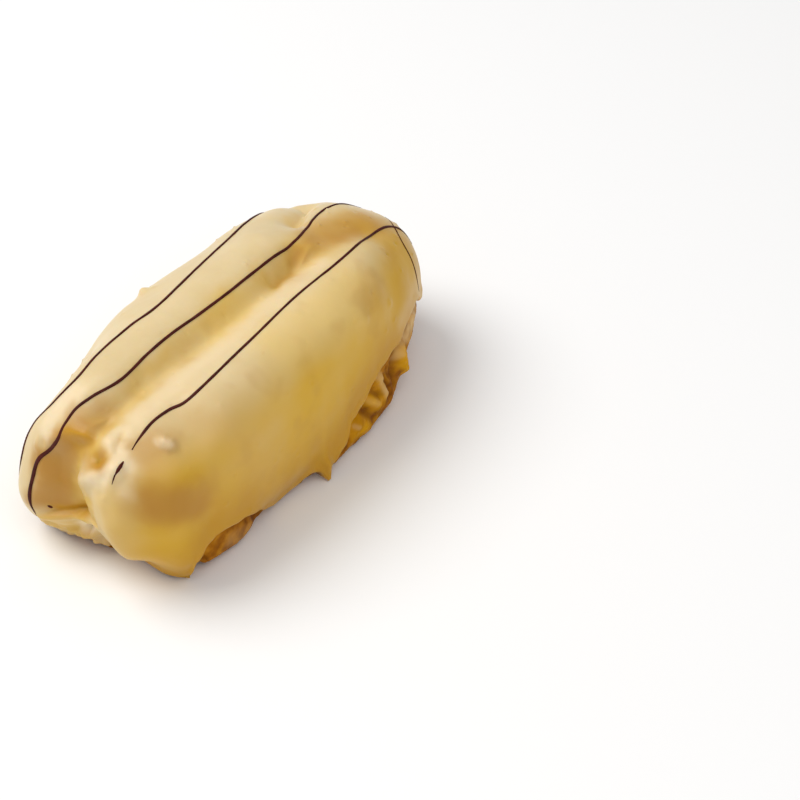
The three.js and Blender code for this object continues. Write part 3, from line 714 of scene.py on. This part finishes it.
def levels_at_height(heights):
    """The level at which each column of the smooth form has a height."""
    above, below = TOP, TABLE
    for _ in range(HALVINGS):
        middle = (above + below) / 2
        higher = form_points(ANGLES, middle)[..., 2] > heights
        above, below = np.where(higher, middle, above), np.where(higher, below, middle)
    return (above + below) / 2


EDGE_LEVELS = levels_at_height(EDGE)


# ---------------------------------------------------------------- relief and colours


def glaze_relief(points):
    """The glaze's finer forms, and the unevenness of hand dipping."""
    total = layered(points, DIPPING)
    flank = smooth_step(-points[..., 2], *RUNS_DOWN)
    total += layered(points * np.array(RUN_SCALES), FLANK_RUNS, flank)
    total += bubbles(points, *BUBBLES)
    total += bubbles(points, *PINHOLES)
    total += strength(points, CRUMB) * layered(points, CRUMBS)
    total += strength(points, TORN) * layered(points, TATTERS)
    return total + lift(points, FINE_SWELLS)


def crust_relief(points):
    """Crags, folds and torn flakes of the bare crust, which is smoother towards the near end."""
    bent = moved(points, CRUST_BEND)
    torn = SMOOTH_CRUST + (1 - SMOOTH_CRUST) * smooth_step(points[..., 0], *TORN_FAR)
    strata = np.abs(layered(bent * np.array(STRATA_SCALES), CRUST_STRATA, torn))
    total = lift(points, FOLDS) + lift(points, CREASES) + strata
    return total + layered(bent, CRUST_FLAKES, torn) + layered(points, CRUST_GRAIN)


def crust_colours(points):
    """How ochre and how smeared with glaze the crust is at each point, and how dark with painted
    shade in its creases and at the table.
    """
    x, z = points[..., 0], points[..., 2]
    folded = lift(points, FOLDS) / FULLY_COLOURED_HEIGHT
    creased = -lift(points, CREASES) / FULLY_COLOURED_HEIGHT
    ochre = (folded + layered(points, OCHRE_MOTTLING)) * smooth_step(x, *OCHRE_FAR)
    # Painted shade: darker in the creases and at the table.
    dark = creased + PAINTED_FOOT_SHADOW * smooth_step(-z, *FOOT_SHADOW_DOWN)
    smear = strength(points, SMEARS) * (SMEAR_STRENGTH + layered(points, SMEAR_MOTTLING))
    return {"ochre": ochre, "dark": dark, "smear": smear}


def thin_edge_and_shaded_side(points):
    """How much darker the glaze is towards its edge, where it is thinner, and, as painted shade,
    much further up and lower down on the right side, turned from the key lamp.
    """
    x, y, z = points[..., 0], points[..., 1], points[..., 2]
    above = np.maximum(z - EDGE[None, :], 0)
    spared = SPARED_FAR_SHARE * smooth_step(x, *SPARED_FAR)
    spared = spared + SPARED_NEAR_SHARE * smooth_step(-x, *SPARED_NEAR)
    right = smooth_step(-y, *THIN_AND_SHADED_RIGHT) * (1 - spared)
    by_edge = RIGHT_EDGE_STRENGTH * np.exp(-((above / RIGHT_EDGE_REACH) ** RIGHT_EDGE_SHARPNESS))
    # The right side's wider band and its darker lower part are painted shade as well as thinner
    # glaze.
    edge_and_shade = right * (by_edge + LOW_STRENGTH * smooth_step(-z, *THIN_AND_SHADED_DOWN))
    return edge_and_shade + LEFT_EDGE_STRENGTH * (1 - right) * np.exp(-above / LEFT_EDGE_REACH)


def glaze_colours(points):
    """How much of each tint the glaze has at each point. Zones of colour have uneven borders."""
    y, z = points[..., 1], points[..., 2]
    drift = layered(points, DRIFT)
    blotches = BLOTCH_STRENGTH * smooth_step(layered(points, BLOTCHES), *BLOTCH_BORDER)
    blotches = blotches * smooth_step(-y, *BLOTCHES_RIGHT)
    # The right flank: thinner glaze, and painted shade on the side turned from the key lamp.
    flank = smooth_step(-y, *FLANK_RIGHT) * smooth_step(-z, *FLANK_DOWN)
    edge_and_shade = thin_edge_and_shaded_side(points) * (1 + DEEP_DRIFT * drift)
    points = moved(points, COLOUR_SHIFTS)
    golden = strength(points, GOLDEN)
    brown = strength(points, BROWN) * (1 + BROWN_DRIFT * drift)
    return {
        "golden": golden + (GOLDEN_DRIFT_EVERYWHERE + GOLDEN_DRIFT * golden) * drift,
        "flank": flank * (1 + FLANK_DRIFT * drift),
        # The painted light.
        "painted_light": strength(points, PAINTED_LIGHT_ZONES),
        "brown": 1 - (1 - brown) * (1 - blotches),
        # Thinner glaze at the edge, and painted shade on the right side, in the crevice, under the
        # step and in the dimple.
        "edge_and_shade": 1 - (1 - edge_and_shade) * (1 - strength(points, PAINTED_SHADE_ZONES)),
        # The painted highlights.
        "pale": strength(points, PAINTED_HIGHLIGHTS),
        "crumb": strength(points, CRUMB),
    }


# ---------------------------------------------------------------- meshes


def to_row(points):
    return (np.asarray(points) + np.array(FORM_TO_ROW)) * MM


def new_object(name, points, faces):
    mesh = bpy.data.meshes.new(name)
    mesh.from_pydata(to_row(points).tolist(), [], faces)
    mesh.validate()
    mesh.shade_smooth()
    piece = bpy.data.objects.new(name, mesh)
    bpy.context.scene.collection.objects.link(piece)
    return piece


def new_skin(name, rows, faces, colours):
    """A piece with the points of the rows that its faces use. Each point has a share of every
    colour, for the material to read."""
    used = sorted({point for face in faces for point in face})
    number = {point: place for place, point in enumerate(used)}
    faces = [[number[point] for point in face] for face in faces]
    piece = new_object(name, rows.reshape(-1, 3)[used], faces)
    for colour, shares in colours.items():
        layer = piece.data.attributes.new(colour, "FLOAT", "POINT")
        shares = np.clip(shares, 0, 1).reshape(-1)[used]
        layer.data.foreach_set("value", shares.astype(np.float32))
    return piece


def shell_faces(rows, folded_rows):
    """Quads between rows of COLUMNS points. A folded row lies on the top line, where the column i
    and the column COLUMNS - i share a point."""
    column = np.arange(COLUMNS)
    index = np.arange(rows * COLUMNS).reshape(rows, COLUMNS)
    for row in folded_rows:
        index[row] = index[row, np.minimum(column, (COLUMNS - column) % COLUMNS)]
    here, there = index, np.roll(index, -1, axis=1)
    return np.stack([here[:-1], here[1:], there[1:], there[:-1]], -1).reshape(-1, 4).tolist()


def underside_faces(first):
    """Strips across the lowest row, whose points start at first. The two at the ends have three
    corners."""
    faces = []
    for i in range(COLUMNS // 2):
        corners = (i, (COLUMNS - i) % COLUMNS, COLUMNS - i - 1, i + 1)
        faces.append([first + corner for corner in dict.fromkeys(corners)])
    return faces


def build_glaze():
    """The glaze: its outer face, its rounded lip and its inner face."""
    outer_levels = meridian_levels(TOP, EDGE_LEVELS, GLAZE_ROWS)
    outer = places_at(outer_levels)
    ways = outward(outer)
    over_edge = EDGE[None, :] - outer[..., 2]
    bead = BEAD_HEIGHT * np.exp(-((over_edge / BEAD_REACH) ** 2)) * (outer_levels > BEAD_FROM_LEVEL)
    rise = swelling(outer) + glaze_relief(outer) + bead
    skin = outer + ways * rise[..., None]

    turn = np.linspace(0, math.pi, LIP_ROWS + 2)[1:-1, None]
    depth = GLAZE / 2 * (1 - np.cos(turn))
    drop = np.minimum(GLAZE / 2 * np.sin(turn), np.maximum(outer[-1, :, 2] - LIP_CLEARANCE, 0))
    lip = outer[-1] + ways[-1] * (rise[-1] - depth)[..., None]
    lip = lip - np.array((0, 0, 1)) * drop[..., None]

    inner = places_at(meridian_levels(TOP, EDGE_LEVELS, INNER_ROWS)[::-1])
    inner = inner + outward(inner) * (swelling(inner) - GLAZE)[..., None]

    rows = np.concatenate([skin, lip, inner])
    hidden = len(lip) + len(inner)
    colours = {
        name: np.concatenate([shares, np.repeat(shares[-1:], hidden, axis=0)])
        for name, shares in glaze_colours(outer).items()
    }
    return new_skin("glaze", rows, shell_faces(len(rows), (0, len(rows) - 1)), colours)


def build_crust():
    """The bun: just under the glaze, and bare crust below its edge."""
    covered = places_at(meridian_levels(TOP, EDGE_LEVELS, INNER_ROWS))
    bare = places_at(meridian_levels(EDGE_LEVELS, TABLE, CRUST_ROWS)[1:])
    covered = covered + outward(covered) * (swelling(covered) - GLAZE - CRUST_GAP)[..., None]
    colours = crust_colours(np.concatenate([covered, bare]))

    beside = range(-CRUST_NEIGHBOURS, CRUST_NEIGHBOURS + 1)
    lowest = np.minimum.reduce([np.roll(EDGE, columns) for columns in beside])
    out = smooth_step(lowest - bare[..., 2], *CRUST_COMES_OUT)
    depth = (1 - out) * (GLAZE + CRUST_GAP) + out * (CRUST_INSET - crust_relief(bare))
    bare = bare + outward(bare) * (swelling(bare) - depth)[..., None]

    rows = np.concatenate([covered, bare])
    faces = shell_faces(len(rows), (0,)) + underside_faces((len(rows) - 1) * COLUMNS)
    return new_skin("crust", rows, faces, colours)


def spline(places):
    """Even steps of about LINE_STEP along a smooth curve through the places."""
    p = np.array([places[0], *places, places[-1]], float)
    t = np.linspace(0, 1, SPLINE_SAMPLES)[:, None]
    runs = []
    for a, b, c, d in zip(p, p[1:], p[2:], p[3:]):
        runs.append(
            0.5 * (2 * b + (c - a) * t + (2 * a - 5 * b + 4 * c - d) * t**2
                   + (3 * b - a - 3 * c + d) * t**3)
        )
    curve = np.concatenate(runs)
    lengths = lengths_along(curve)
    steps = max(int(lengths[-1] / LINE_STEP), LINE_FEWEST_STEPS)
    wanted = np.linspace(0, lengths[-1], steps + 1)
    return np.stack([np.interp(wanted, lengths, curve[:, axis]) for axis in range(3)], -1)


def surface_finder(piece):
    """A function that gives the place and the normal where the way out through a place meets the
    piece's outside."""
    tree = BVHTree.FromObject(piece, bpy.context.evaluated_depsgraph_get())

    def find(place):
        way = outward(place[None])[0]
        start = to_row(place + way * FINDER_START)
        hit, normal, _, _ = tree.ray_cast(Vector(start), Vector(-way))
        return np.array(hit) / MM - np.array(FORM_TO_ROW), np.array(normal)

    return find


def unit(vectors):
    return vectors / np.linalg.norm(vectors, axis=1, keepdims=True)


def line_on_glaze(places, find):
    """Smoothed places on the glaze along a line, and the normals there."""
    found = [find(place) for place in spline(places)]
    centres = np.array([hit for hit, _ in found])
    normals = np.array([normal for _, normal in found])
    for _ in range(min(LINE_SMOOTHINGS, len(found) // 4)):
        centres[1:-1] = (centres[:-2] + 2 * centres[1:-1] + centres[2:]) / 4
        normals[1:-1] = normals[:-2] + 2 * normals[1:-1] + normals[2:]
        normals = unit(normals)
    return centres, normals


def line_widths(count, radii, seed):
    """Half widths along a line, which tapers at its ends and is a little uneven."""
    start_radius, radius = radii
    run = np.arange(count) * LINE_STEP
    ends = np.minimum(run, run[::-1])
    tapering = min(LINE_TAPERING, run[-1] / 3)
    taper = LINE_END_SHARE + (1 - LINE_END_SHARE) * smooth_step(ends, 0, tapering)
    track = np.stack([run, run * 0, run * 0 + seed], -1)
    beads = 1 + LINE_UNEVENNESS * noise(track, LINE_LUMPS, seed)
    change = smooth_step(run, *LINE_CHANGES_WIDTH)
    return (start_radius + (radius - start_radius) * change) * taper * beads


def tube_faces(rings):
    """Faces of a tube with closed ends, from rings of LINE_SIDES points."""
    faces = []
    for i in range(rings - 1):
        here, there = i * LINE_SIDES, (i + 1) * LINE_SIDES
        for j in range(LINE_SIDES):
            k = (j + 1) % LINE_SIDES
            faces.append([here + j, here + k, there + k, there + j])
    faces.append(list(range(LINE_SIDES))[::-1])
    faces.append([(rings - 1) * LINE_SIDES + j for j in range(LINE_SIDES)])
    return faces


def build_line(name, places, radii, find, seed):
    """A thin line of chocolate: a flattened rope that lies on the glaze."""
    centres, normals = line_on_glaze(places, find)
    widths = line_widths(len(centres), radii, seed)[:, None, None]
    sides = unit(np.cross(unit(np.gradient(centres, axis=0)), normals))
    turns = np.arange(LINE_SIDES) * 2 * math.pi / LINE_SIDES
    across = np.cos(turns)[None, :, None] * widths
    up = (np.sin(turns) * LINE_FLATNESS + LINE_RAISE)[None, :, None] * widths
    points = centres[:, None] + (sides[:, None] * across + normals[:, None] * up)
    return new_object(name, points.reshape(-1, 3), tube_faces(len(centres)))


# ---------------------------------------------------------------- materials


def new_material(name):
    material = bpy.data.materials.new(name)
    material.use_nodes = True
    return material, material.node_tree, material.node_tree.nodes["Principled BSDF"]


def set_inputs(node, values):
    for name, value in values.items():
        node.inputs[name].default_value = value


def add_noise(tree, scale, detail):
    """Noise over the object's own space, in lumps per metre."""
    node = tree.nodes.new("ShaderNodeTexNoise")
    set_inputs(node, {"Scale": scale, "Detail": detail})
    place = tree.nodes.new("ShaderNodeTexCoord")
    tree.links.new(place.outputs["Object"], node.inputs["Vector"])
    return node.outputs["Fac"]


def add_ramp(tree, source, stops):
    node = tree.nodes.new("ShaderNodeValToRGB")
    ramp = node.color_ramp
    while len(ramp.elements) < len(stops):
        ramp.elements.new(0.5)
    for element, (position, colour) in zip(ramp.elements, stops):
        element.position = position
        element.color = (*colour, 1)
    tree.links.new(source, node.inputs["Fac"])
    return node.outputs["Color"]


def add_tint(tree, name, under, tint):
    """A tint laid over a colour by its painted share."""
    share = tree.nodes.new("ShaderNodeAttribute")
    share.attribute_name = name
    node = tree.nodes.new("ShaderNodeMix")
    node.data_type = "RGBA"
    tree.links.new(share.outputs["Fac"], node.inputs["Factor"])
    tree.links.new(under, node.inputs["A"])
    node.inputs["B"].default_value = (*tint, 1)
    return node.outputs["Result"]


def set_colour(tree, shader, source, stops, tints):
    """A ramp of colours over the source, with tints laid over it."""
    colour = add_ramp(tree, source, stops)
    for name, tint in tints.items():
        colour = add_tint(tree, name, colour, tint)
    tree.links.new(colour, shader.inputs["Base Color"])


def set_bump(tree, shader, source, amount, distance):
    bump = tree.nodes.new("ShaderNodeBump")
    set_inputs(bump, {"Strength": amount, "Distance": distance})
    tree.links.new(source, bump.inputs["Height"])
    tree.links.new(bump.outputs["Normal"], shader.inputs["Normal"])


def glaze_material():
    material, tree, shader = new_material("glaze")
    set_colour(tree, shader, add_noise(tree, scale=60, detail=4), CREAM, GLAZE_TINTS)
    grain = add_noise(tree, scale=700, detail=2)
    set_bump(tree, shader, grain, amount=0.1, distance=0.0003)
    set_inputs(shader, {
        "Roughness": 0.36,
        "Specular IOR Level": 0.24,
        "Subsurface Weight": 0.3,
        "Subsurface Radius": (1.0, 0.6, 0.25),
        "Subsurface Scale": 0.0015,
    })
    return material


def crust_material():
    material, tree, shader = new_material("crust")
    mottle = add_noise(tree, scale=260, detail=6)
    set_colour(tree, shader, mottle, BAKED, CRUST_TINTS)
    set_bump(tree, shader, mottle, amount=0.35, distance=0.0005)
    set_inputs(shader, {"Roughness": 0.6, "Specular IOR Level": 0.05})
    return material


def chocolate_material():
    material, tree, shader = new_material("chocolate")
    set_colour(tree, shader, add_noise(tree, scale=400, detail=3), CHOCOLATE, {})
    set_inputs(shader, {"Roughness": 0.5, "Specular IOR Level": 0.1})
    return material


def floor_material():
    material, _, shader = new_material("floor")
    set_inputs(shader, {"Base Color": FLOOR_COLOUR, "Roughness": 0.9})
    return material


# ---------------------------------------------------------------- stage


def build_floor():
    corners = [(x * FLOOR_HALF, y * FLOOR_HALF, 0) for x, y in ((-1, -1), (1, -1), (1, 1), (-1, 1))]
    mesh = bpy.data.meshes.new("floor")
    mesh.from_pydata(corners, [], [[0, 1, 2, 3]])
    floor = bpy.data.objects.new("floor", mesh)
    bpy.context.scene.collection.objects.link(floor)
    mesh.materials.append(floor_material())


def build_camera():
    """The camera looks with no roll, turned so that AIM falls on AIM_PIXEL."""
    azimuth, elevation = CAMERA_AZIMUTH, CAMERA_ELEVATION
    back = np.array((
        math.sin(azimuth) * math.cos(elevation),
        -math.cos(azimuth) * math.cos(elevation),
        math.sin(elevation),
    ))
    middle = PHOTO_SIZE / 2
    seen = np.array((
        (AIM_PIXEL[0] - middle) / LENS_PIXELS, -(AIM_PIXEL[1] - middle) / LENS_PIXELS, -1,
    ))
    seen /= np.linalg.norm(seen)
    tilt = math.asin(-back[2] / math.hypot(seen[1], seen[2])) - math.atan2(seen[1], -seen[2])
    ahead = -seen[2] * math.cos(tilt) - seen[1] * math.sin(tilt)
    heading = math.atan2(-back[1], -back[0]) - math.atan2(-seen[0], ahead)
    data = bpy.data.cameras.new("camera")
    data.sensor_width = SENSOR
    data.lens = LENS_PIXELS / PHOTO_SIZE * SENSOR
    data.clip_start, data.clip_end = CAMERA_RANGE
    camera = bpy.data.objects.new("camera", data)
    camera.location = to_row(AIM + back * CAMERA_DISTANCE)
    camera.rotation_euler = (math.pi / 2 + tilt, 0, heading - math.pi / 2)
    bpy.context.scene.collection.objects.link(camera)
    bpy.context.scene.camera = camera


def build_lights():
    world = bpy.data.worlds.new("world")
    world.use_nodes = True
    set_inputs(world.node_tree.nodes["Background"], {"Color": SKY_COLOUR, "Strength": SKY_STRENGTH})
    bpy.context.scene.world = world
    for name, (place, size, power) in LAMPS.items():
        data = bpy.data.lights.new(name, "AREA")
        data.shape = "DISK"
        data.size = size
        data.energy = power
        data.color = LAMP_COLOUR
        light = bpy.data.objects.new(name, data)
        light.location = place
        light.rotation_euler = (-Vector(place)).to_track_quat("-Z", "Y").to_euler()
        bpy.context.scene.collection.objects.link(light)


# ---------------------------------------------------------------- scene


def main():
    glaze = build_glaze()
    glaze.data.materials.append(glaze_material())
    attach(glaze, "root")
    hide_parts("icing")

    crust = build_crust()
    crust.data.materials.append(crust_material())
    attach(crust, "root")
    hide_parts("choux")

    chocolate = chocolate_material()
    find = surface_finder(glaze)
    for seed, (name, (places, radii)) in enumerate(LINES.items(), start=FIRST_LINE_SEED):
        line = build_line(name, places, radii, find, seed)
        line.data.materials.append(chocolate)
        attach(line, "root")

    build_floor()
    build_camera()
    build_lights()
    bpy.context.scene.view_settings.view_transform = "Standard"


main()
